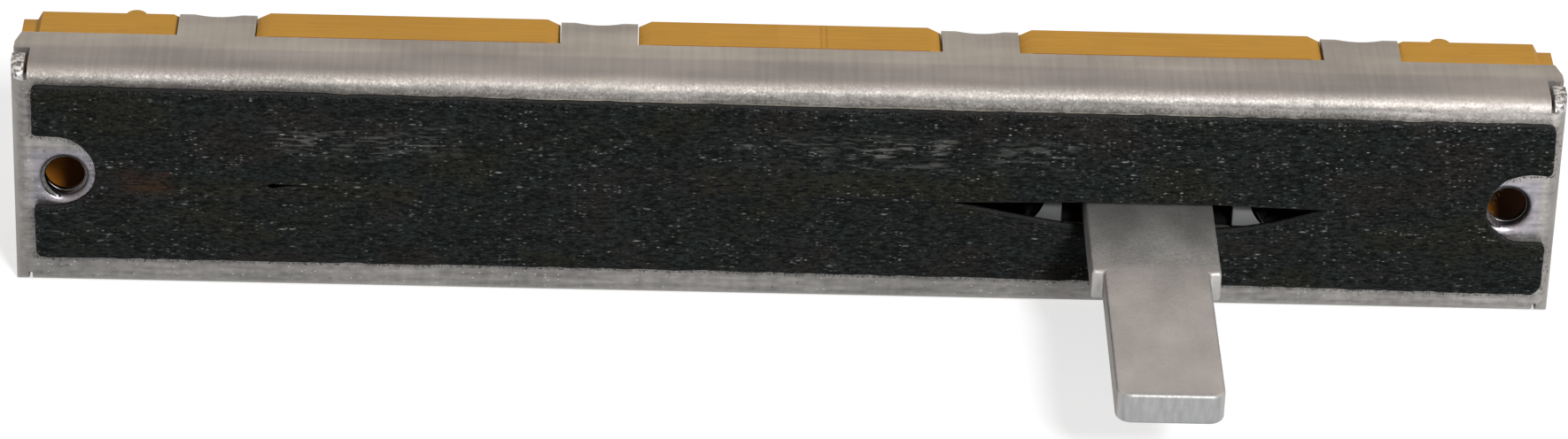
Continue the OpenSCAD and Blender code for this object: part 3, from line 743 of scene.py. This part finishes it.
# %% [markdown]
# ## Soft edges on stamped and moulded pieces
# No real edge is perfectly sharp, and the thin highlight along an edge tells the eye what a piece is
# made of. A bevel in the shader would do for a picture, but not for the exported mesh. Blender must not
# change a CAD mesh, so each piece is a copy of it: double points are welded, flat triangles are merged
# back into whole faces, and only the sharp edges get a small bevel.

# %% Copies with soft edges
WELD_MM = 0.0004
FLAT_ANGLE, SHARP_ANGLE = math.radians(0.5), math.radians(35)
BEVEL_SEGMENTS = 3
body_of = {name: body for body, names in frame["record"]["behaviour"]["bodies"].items() for name in names}


def dress(piece, body, material):
    """Gives a piece its finish and makes it ride on a body."""
    piece.data.materials.clear()
    piece.data.materials.append(material)
    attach(piece, body)
    return piece


def soft_edged(source, name, radius, material):
    """A copy of a CAD node with its sharp edges rounded, which stands for the node."""
    shape = bmesh.new()
    shape.from_mesh(frame["nodes"][source].data)
    bmesh.ops.remove_doubles(shape, verts=shape.verts, dist=WELD_MM * MM)
    bmesh.ops.dissolve_limit(shape, angle_limit=FLAT_ANGLE, verts=shape.verts, edges=shape.edges)
    edges = [e for e in shape.edges if e.is_manifold and e.calc_face_angle() > SHARP_ANGLE]
    bmesh.ops.bevel(
        shape, geom=edges, offset=radius * MM, offset_type="OFFSET", segments=BEVEL_SEGMENTS,
        profile=0.5, affect="EDGES", clamp_overlap=False,
    )
    mesh = bpy.data.meshes.new(name)
    shape.to_mesh(mesh)
    shape.free()
    mesh.shade_smooth()
    piece = bpy.data.objects.new(name, mesh)
    scene.collection.objects.link(piece)
    piece.modifiers.new("flat faces stay flat", "WEIGHTED_NORMAL").keep_sharp = True
    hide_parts(source)
    return dress(piece, body_of[source], material)


soft_edged("lever", "lever_blade", 0.13, lever_metal)
soft_edged("board", "resistor_board", 0.03, phenolic_paper)
soft_edged("carriage", "slide_carriage", 0.06, grey_plastic)
for n in (1, 2, 3):
    soft_edged(f"terminal_{n}", f"terminal_lug_{n}", 0.05, tinned_brass)

# %% [markdown]
# ## Finishes for the pieces that keep their CAD shape
# The case, the prints, the wiper, the rivets and the film are right as they come, so they only change
# their material.

# %% CAD pieces
kept = {
    "case": plated_steel, "felt_adhesive": adhesive_film, "wiper": spring_bronze,
    "resistive_track": carbon_print, "collector_track": carbon_print,
}
for n in (1, 2, 3):
    kept[f"electrode_{n}"] = silver_print
    kept[f"eyelet_{n}"] = tinned_brass
for name, material in kept.items():
    mesh = frame["nodes"][name].data
    mesh.materials.clear()
    mesh.materials.append(material)
print("finished CAD pieces:", len(kept))

# %% [markdown]
# ## Screw threads
# The two drawn holes are tapped. A thread is a ridge that climbs as it goes round, so it is swept: a
# small four-point section is turned about the hole's axis and moved inwards by one pitch per turn,
# clockwise as seen from the front, because it is a right-hand thread. It starts on the rounded mouth,
# so its radius follows the mouth's curve.

# %% Thread turns in the drawn holes
MOUTH_R = 0.38
PITCH = 0.4
RIDGE_HALF = 0.28 * PITCH
CREST_SHARE = 0.25
THREAD_START, THREAD_END = 0.0, 0.7
THREAD_ANGLE = math.radians(-100)
RUN_OUT = 5
RIDGE, MOUTH_RIDGE, SUNK = 0.035, 0.1, 0.02
STEPS_PER_TURN = 48


def piece_from(name, points_mm, faces):
    """A smooth mesh object from points in millimetres."""
    mesh = bpy.data.meshes.new(name)
    mesh.from_pydata([tuple(np.multiply(p, MM)) for p in points_mm], [], faces)
    mesh.shade_smooth()
    piece = bpy.data.objects.new(name, mesh)
    scene.collection.objects.link(piece)
    return piece


def wall_r(y):
    """Radius of the drawn hole at depth y: a rounded mouth, then a plain bore."""
    left = max(0, MOUTH_R - y)
    return HOLE_R + MOUTH_R - math.sqrt(MOUTH_R**2 - left**2)


def thread(name, x):
    """A helical ridge on the wall of a hole along Y; its ends run out into the wall."""
    count = round((THREAD_END - THREAD_START - 2 * RIDGE_HALF) / PITCH * STEPS_PER_TURN)
    points, faces = [], []
    for i in range(count + 1):
        a = THREAD_ANGLE - 2 * math.pi * i / STEPS_PER_TURN
        fade = min(1, i / RUN_OUT, (count - i) / RUN_OUT)
        middle = THREAD_START + RIDGE_HALF + PITCH * i / STEPS_PER_TURN
        crest = fade * min(MOUTH_RIDGE, RIDGE + wall_r(middle) - HOLE_R)
        for height, along in ((-SUNK, -1), (crest, -CREST_SHARE), (crest, CREST_SHARE), (-SUNK, 1)):
            y = middle + along * RIDGE_HALF
            r = wall_r(y) - height
            points.append((x + r * math.cos(a), y, r * math.sin(a)))
    for i in range(count):
        for k in range(4):
            a, b = 4 * i + k, 4 * i + (k + 1) % 4
            faces.append((a + 4, b + 4, b, a))
    faces += [(0, 1, 2, 3), tuple(4 * count + k for k in (3, 2, 1, 0))]
    return dress(piece_from(name, points, faces), "housing", cut_steel)


for name, x in (("thread_left", -HOLE_X), ("thread_right", HOLE_X)):
    thread(name, x)
print("threads of pitch", PITCH, "mm at x =", (-HOLE_X, HOLE_X))

# %% [markdown]
# ## The dust felt
# The felt is one die-cut strip, glued on a little askew, with a notch round each screw hole and a slit
# for the lever. Its edges are what sells it: they fray, and at the lever the slit opens to an eye. A flat
# box with a felt finish couldn't show that, so the outline is drawn from lines and arcs, and then every
# point is pushed in or out by a little noise.

# %% Outline of the felt
STEP = 0.2
TURN = math.radians(-0.29)
SWELL = 0.13
NOTCH_R, NOTCH_DEPTH = 1.55, 2.4
CORNER_R, LOWER_RIGHT_R, MOUTH_CORNER_R = 0.3, 0.55, 0.2
UPPER_WAIST, LOWER_WAIST = 0.08, 0.14
FELT_SHIFT = np.array((0, -0.045))
NOTCH_UP = 0.05
LEFT_SLANT = 0.012
felt_low, felt_high = place("dust_felt")
x0, x1, z0, z1 = felt_low[0], felt_high[0], felt_low[2], felt_high[2]
felt_middle = np.array(((x0 + x1) / 2, (z0 + z1) / 2)) + FELT_SHIFT
felt_w = (z1 - z0) - (x1 - x0) * math.sin(abs(TURN)) + SWELL
felt_l = (x1 - x0) - felt_w * math.sin(abs(TURN))


def run(start, end):
    """Points from start towards end, without the end."""
    n = max(2, round(math.dist(start, end) / STEP))
    return [np.add(start, np.subtract(end, start) * i / n) for i in range(n)]


def arc(centre, r, start, end):
    """Points round a centre, angles in degrees, without the end."""
    n = max(4, round(math.radians(abs(end - start)) * r / STEP))
    angles = np.radians(np.linspace(start, end, n, endpoint=False))
    return [np.add(centre, (r * math.cos(a), r * math.sin(a))) for a in angles]


def felt_edge():
    """The outer edge about its own middle, counter-clockwise from the lower left corner."""
    r, big, m = CORNER_R, LOWER_RIGHT_R, MOUTH_CORNER_R
    ex, ez = felt_l / 2, felt_w / 2
    left, right = NOTCH_DEPTH - NOTCH_R - ex, ex - NOTCH_DEPTH + NOTCH_R
    low, up, n = NOTCH_UP - NOTCH_R, NOTCH_UP + NOTCH_R, NOTCH_R
    return np.array([
        *run((r - ex, -ez), (ex - big, -ez)), *arc((ex - big, big - ez), big, -90, 0),
        *run((ex, big - ez), (ex, low - m)), *arc((ex - m, low - m), m, 0, 90),
        *run((ex - m, low), (right, low)), *arc((right, NOTCH_UP), n, 270, 90),
        *run((right, up), (ex - m, up)), *arc((ex - m, up + m), m, -90, 0),
        *run((ex, up + m), (ex, ez - r)), *arc((ex - r, ez - r), r, 0, 90),
        *run((ex - r, ez), (r - ex, ez)), *arc((r - ex, ez - r), r, 90, 180),
        *run((-ex, ez - r), (-ex, up + m)), *arc((m - ex, up + m), m, 180, 270),
        *run((m - ex, up), (left, up)), *arc((left, NOTCH_UP), n, 90, -90),
        *run((left, low), (m - ex, low)), *arc((m - ex, low - m), m, 90, 180),
        *run((-ex, low - m), (-ex, r - ez)), *arc((r - ex, r - ez), r, 180, 270),
    ])


print("felt strip", round(felt_l, 1), "by", round(felt_w, 2), "mm, turned by", round(math.degrees(TURN), 2))

# %% The felt laid on and frayed
FRAY = 0.06
SLOW_PER_MM, QUICK_PER_MM = 1.1, 4


def laid_on(points):
    """Draws the strip in at its waist, slants its left end, and turns it to where it was glued."""
    x, z = points.T
    waist = np.where(z > 0, UPPER_WAIST, LOWER_WAIST) * (np.abs(z) > NOTCH_R + NOTCH_UP)
    drawn = z * (1 - waist * np.cos(np.pi * x / felt_l) / (felt_w / 2))
    x = x - LEFT_SLANT * z * (x < -felt_l / 2 + NOTCH_DEPTH)
    c, s = math.cos(TURN), math.sin(TURN)
    return np.stack([c * x - s * drawn, s * x + c * drawn], axis=1) + felt_middle


def inwards(loop):
    """Unit normals to the left of a closed loop, which is where the felt lies."""
    along = np.roll(loop, -1, axis=0) - np.roll(loop, 1, axis=0)
    normal = np.stack([-along[:, 1], along[:, 0]], axis=1)
    return normal / np.linalg.norm(normal, axis=1)[:, None]


def frayed(loop, depth):
    """Moves each point in or out along its normal by smooth noise."""
    slow = np.array([noise.noise((x * SLOW_PER_MM, z * SLOW_PER_MM, 3)) for x, z in loop])
    quick = np.array([noise.noise((x * QUICK_PER_MM, z * QUICK_PER_MM, 8)) for x, z in loop])
    return loop + inwards(loop) * (depth * (0.5 + 0.7 * slow + 0.5 * quick))[:, None]


outer = frayed(laid_on(felt_edge()), FRAY)
print("felt edge:", len(outer), "points")

# %% [markdown]
# ### The slit and its eye
# Left and right of the lever the slit is shut, apart from one small place near its left end. At the
# lever it opens to an eye: the upper lip lies on the lever's upper face, the lower lip sags under it,
# and both close again a few millimetres to each side. The carriage's two ears show in the opening.

# %% Slit and eye
SLIT_END = 26.35
SLIT_HALF = 0.012
LEFT_REACH, RIGHT_REACH = 8.2, 7.0
LIP_ROOM = 0.03
GAPE, GAPE_X, GAPE_LEFT, GAPE_RIGHT = 0.2, -20.0, 0.25, 0.9
UPPER_LIP, LOWER_LIP = (2.6, 0.8, 1.0), (2.2, 1.15, 1.9)
WANDER, LEVER_FADE, END_FADE = 0.05, 4, 2
lever_x = (lever_low[0] + lever_high[0]) / 2
up_open = lever_high[2] + LIP_ROOM
low_open = LIP_ROOM - lever_low[2]


def slit_line(x):
    """The cut wanders a little, and not at the lever."""
    from_lever = np.clip((np.abs(x - lever_x) - RIGHT_REACH) / LEVER_FADE, 0, 1)
    from_ends = np.clip((SLIT_END - np.abs(x)) / END_FADE, 0, 1)
    return WANDER * from_lever * from_ends * (np.sin(x * 0.9) + 0.6 * np.sin(x * 2.3 + 1))


def shut(x, flat, left_power, right_power):
    """0 up to flat from the lever's middle, growing with a power to 1 where the eye has closed."""
    off = x - lever_x
    reach = np.where(off < 0, LEFT_REACH, RIGHT_REACH)
    part = np.clip((np.abs(off) - flat) / (reach - flat), 0, 1)
    return part ** np.where(off < 0, left_power, right_power)


def parted(x):
    """Half the gap of the shut slit: it gapes at one place near its left end."""
    reach = np.where(x < GAPE_X, GAPE_LEFT, GAPE_RIGHT)
    return SLIT_HALF + GAPE * np.exp(-np.abs(x - GAPE_X) / reach)


def upper_lip(x):
    return slit_line(x) + parted(x) + up_open * (1 - shut(x, *UPPER_LIP))


def lower_lip(x):
    return slit_line(x) - parted(x) - low_open * (1 - shut(x, *LOWER_LIP))


slit_x = np.arange(-SLIT_END + STEP, SLIT_END, STEP)
upper = np.stack([slit_x, upper_lip(slit_x)], axis=1)
lower = np.stack([slit_x, lower_lip(slit_x)], axis=1)
slit = np.vstack([[(-SLIT_END, 0)], upper, [(SLIT_END, 0)], lower[::-1]])
print("slit:", len(slit), "points, eye", round(up_open + low_open, 2), "mm high")

# %% [markdown]
# ### From outlines to a sheet
# Each outline becomes a rounded rim: a few rings that step inwards and upwards. A grid couldn't follow
# the slit, so a constrained Delaunay triangulation fills the face between the rims, using scattered
# points that carry the felt's uneven height. The same triangles, turned over, close the back.

# %% Height and points of the felt's face
MOVING = (-1.6, 0.8)
FADE = 0.4
ROW_STEP = 0.425
GRID_X, GRID_Z = 0.4, 0.32
SHIFT_X, SHIFT_Z = 0.12, 0.1
ROW_ROOM, END_ROOM = 0.1, 0.3
LIP_BULGE, LIP_WIDTH = 0.2, 0.6
ROLL_HEIGHT, NAP_HEIGHT = 0.02, 0.012
picker = random.Random(7)


def relief(x, z):
    """How far the felt's face stands proud at (x, z): bulging lips and a rolling nap."""
    edge = upper_lip(x) if z > 0 else lower_lip(x)
    opened = (upper_lip(x) - lower_lip(x)) / (up_open + low_open)
    bulge = LIP_BULGE * opened * math.exp(-(((z - edge) / LIP_WIDTH) ** 2))
    roll = ROLL_HEIGHT * noise.noise((x * 0.8, 0, z * 2))
    return bulge + roll + NAP_HEIGHT * noise.noise((x * 3, 5, z * 6))


def scattered():
    """Points for the face; none between the rows where the moving lips meet the fixed felt."""
    rows = [MOVING[0] - FADE, MOVING[0], MOVING[1], MOVING[1] + FADE]
    row_x = np.arange(-SLIT_END, SLIT_END + ROW_STEP / 2, ROW_STEP)
    n = len(row_x)
    points = [(x, z) for z in rows for x in row_x]
    edges = [(r * n + i, r * n + i + 1) for r in range(len(rows)) for i in range(n - 1)]
    for x in np.arange(x0, x1, GRID_X):
        for z in np.arange(z0, z1, GRID_Z):
            point = (x + picker.uniform(-SHIFT_X, SHIFT_X), z + picker.uniform(-SHIFT_Z, SHIFT_Z))
            banded = any(-ROW_ROOM < point[1] - low < FADE + ROW_ROOM for low in (rows[0], rows[2]))
            if not (banded and abs(point[0]) < SLIT_END + END_ROOM):
                points.append(point)
    return np.array(points), edges


def inside(points, loops):
    """Which points lie in the felt, by counting how often a ray crosses the loops."""
    crossings = np.zeros(len(points), int)
    for loop in loops:
        a, b = loop, np.roll(loop, -1, axis=0)
        for (ax, az), (bx, bz) in zip(a, b):
            if az != bz:
                spans = (points[:, 1] > az) != (points[:, 1] > bz)
                crossings += spans & (points[:, 0] < ax + (bx - ax) * (points[:, 1] - az) / (bz - az))
    return crossings % 2 == 1


print("the lips bulge by", LIP_BULGE, "mm and move with the lever from z =", MOVING[0], "to", MOVING[1])

# %% Felt sheet
RIM = [(0.0, 0.0), (0.0, 0.55), (0.3, 0.85), (1.0, 1.0)]
EDGE_RIM, SLIT_RIM, EYE_RIM = 0.12, 0.04, 0.08
RIM_CLEAR = 0.09
felt_back, felt_front = felt_high[1], felt_low[1]


def rounded_rim(loop, rim, points, faces):
    """Adds the rings of one rim: (innermost ring, numbers of its front points, of its back points)."""
    into, first, n = inwards(loop), len(points), len(loop)
    for step, rise in RIM:
        ring = loop + into * (rim * step)[:, None]
        for (x, z), r in zip(ring, rim):
            top = felt_front - (relief(x, z) if rise else 0)
            points.append((x, felt_back if rise == 0 else top + r * (1 - rise) * 2, z))
    for k in range(len(RIM) - 1):
        a, b = first + k * n, first + (k + 1) * n
        faces += [(a + i, a + (i + 1) % n, b + (i + 1) % n, b + i) for i in range(n)]
    return ring, range(b, b + n), range(first, first + n)


def felt_sheet(loops, rims):
    """Points and faces of a closed sheet with rounded rims along its loops."""
    points, faces, face_ids, back_ids, flat = [], [], [], [], []
    for loop, rim in zip(loops, rims):
        ring, front_numbers, back_numbers = rounded_rim(loop, rim, points, faces)
        flat.append(ring)
        face_ids += front_numbers
        back_ids += back_numbers
    extra, rows = scattered()
    rims_flat = np.vstack(flat)
    clear = [np.min(np.hypot(*(rims_flat - p).T)) > RIM_CLEAR for p in extra]
    keep = np.array(clear) & inside(extra, flat)
    renumber = {old: len(rims_flat) + new for new, old in enumerate(np.flatnonzero(keep))}
    for x, z in extra[keep]:
        face_ids.append(len(points))
        points.append((x, felt_front - relief(x, z), z))
        back_ids.append(len(points))
        points.append((x, felt_back, z))
    plan = np.vstack([rims_flat, extra[keep]])
    edges, start = [], 0
    for ring in flat:
        edges += [(start + i, start + (i + 1) % len(ring)) for i in range(len(ring))]
        start += len(ring)
    edges += [(renumber[a], renumber[b]) for a, b in rows if a in renumber and b in renumber]
    found = geometry.delaunay_2d_cdt([Vector(p) for p in plan], edges, [], 0, 1e-7)
    corners, triangles, origin = found[0], found[2], found[3]
    middles = np.array([[sum(corners[i][k] for i in t) / 3 for k in (0, 1)] for t in triangles])
    for triangle, good in zip(triangles, inside(middles, flat)):
        if good:
            a, b, c = (origin[i][0] for i in triangle)
            faces.append((face_ids[a], face_ids[b], face_ids[c]))
            faces.append((back_ids[c], back_ids[b], back_ids[a]))
    return points, faces


eye_open = (upper_lip(slit[:, 0]) - lower_lip(slit[:, 0])) / (up_open + low_open)
rims = [np.full(len(outer), EDGE_RIM), SLIT_RIM + EYE_RIM * eye_open]
felt_points, felt_faces = felt_sheet([outer, slit], rims)
felt = piece_from("felt_strip", felt_points, felt_faces)
print("felt:", len(felt_points), "points,", len(felt_faces), "faces")

# %% [markdown]
# ### How far the lips would follow the lever
# When the lever moves, the eye has to go with it and the slit has to shut behind it. Shape keys would
# fit a few places of the lever; a blend between the housing and the slider would fit them all. Here each
# point only gets its share: a point beside the lever would follow it fully, a point at the end of the slit
# not at all, and in between the share falls evenly, so that the lips never fold over. The blend is not
# made.

# %% Shares of the felt for following the lever
EYE_HOLD = 4.8


def follow_share(points):
    """How much each point follows the lever: along the slit, and across it."""
    p = np.array(points)
    left = (p[:, 0] + SLIT_END) / (lever_x - EYE_HOLD + SLIT_END)
    right = (SLIT_END - p[:, 0]) / (SLIT_END - lever_x - EYE_HOLD)
    along = np.clip(np.minimum(left, right), 0, 1)
    beyond = np.maximum(p[:, 2] - MOVING[1], MOVING[0] - p[:, 2])
    return along * np.clip(1 - beyond / FADE, 0, 1)


def follows(piece, points):
    """Bakes the piece's transform and gives each point's share of following the lever; no blend is made."""
    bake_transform(piece)
    share = follow_share(points).astype(np.float32)
    return share


felt.data.materials.append(black_felt)
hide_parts("dust_felt")
share = follows(felt, felt_points)
print("felt points that follow the lever fully:", int((share > 0.999).sum()))

# %% [markdown]
# ### Loose fibres
# A few thousand single fibres lie on the felt and stick out of its cut edges. Hair strands wouldn't be
# exported with the part, so each is a thin mesh spindle with pointed ends, bent a little, and mostly laid
# along the strip. A seeded generator places them, so every run gives the same felt.

# %% One fibre
STATIONS = 5
FIBRE_BEND = 0.25
FIBRE_GAP = 0.004
FIBRE_HEIGHT = 1.6
fibre_points, fibre_faces, fibre_roots = [], [], []


def fibre(x, z, length, heading, lift, radius):
    """Adds one bent spindle with three sides, flat on the felt at its middle."""
    first = len(fibre_points)
    bend = picker.uniform(-FIBRE_BEND, FIBRE_BEND)
    for i in range(STATIONS):
        s = i / (STATIONS - 1) - 0.5
        a = heading + bend * s
        middle = np.array((x + length * s * math.cos(a), 0, z + length * s * math.sin(a)))
        middle[1] = felt_front - relief(middle[0], middle[2]) - FIBRE_GAP - lift * (1 - 4 * s * s)
        thick = radius * (1 - (2 * s) ** 2)
        side = np.array((-math.sin(a), 0, math.cos(a)))
        corners = [middle] if i in (0, STATIONS - 1) else [
            middle + side * thick, middle - side * thick, middle - (0, FIBRE_HEIGHT * thick, 0)
        ]
        fibre_points.extend(corners)
        fibre_roots.extend([(x, 0, z)] * len(corners))
    rings = [first + 1 + 3 * i for i in range(STATIONS - 2)]
    last = len(fibre_points) - 1
    for k in range(3):
        n = (k + 1) % 3
        fibre_faces.append((first, rings[0] + n, rings[0] + k))
        fibre_faces.append((last, rings[-1] + k, rings[-1] + n))
        for a, b in zip(rings, rings[1:]):
            fibre_faces.append((a + k, a + n, b + n, b + k))


print("a fibre has", STATIONS, "stations")

# %% Fibres on the felt
FIBRES = 4000
FIBRE_SHARE, TUFTING = 0.6, 0.9
EDGE_FIBRES = 3
SLIT_ROOM = 0.2
FACE_LENGTHS, EDGE_LENGTHS = (0.08, 0.26), (0.08, 0.24)
FACE_RADII, EDGE_RADII = (0.006, 0.012), (0.006, 0.014)
LIFTS = (0, 0.015)
EDGE_REACH = (-0.05, 0.03)
HEADING_SPREAD = 0.2


def free_of_slit(x, z):
    return (np.abs(x) > SLIT_END) | (z > upper_lip(x) + SLIT_ROOM) | (z < lower_lip(x) - SLIT_ROOM)


spots = np.array([(picker.uniform(x0, x1), picker.uniform(z0, z1)) for _ in range(3 * FIBRES)])
spots = spots[inside(spots, [outer]) & free_of_slit(*spots.T)]
for x, z in spots[:FIBRES]:
    if picker.random() < FIBRE_SHARE + TUFTING * noise.noise((x * 0.25, 2, z * 0.9)):
        length = picker.uniform(*FACE_LENGTHS)
        heading = picker.gauss(0, HEADING_SPREAD)
        lift = picker.uniform(*LIFTS)
        fibre(x, z, length, heading, lift, picker.uniform(*FACE_RADII))
for x, z in np.repeat(outer, EDGE_FIBRES, axis=0):
    shift = picker.uniform(-STEP, STEP)
    out = picker.uniform(*EDGE_REACH)
    length = picker.uniform(*EDGE_LENGTHS)
    heading = picker.uniform(0, math.pi)
    lift = picker.uniform(*LIFTS)
    fibre(x + shift, z + out * np.sign(z), length, heading, lift, picker.uniform(*EDGE_RADII))
fibres = piece_from("felt_fibres", fibre_points, fibre_faces)
fibres.data.materials.append(felt_fibre)
follows(fibres, fibre_roots)
print("fibres:", len(fibre_points), "points")
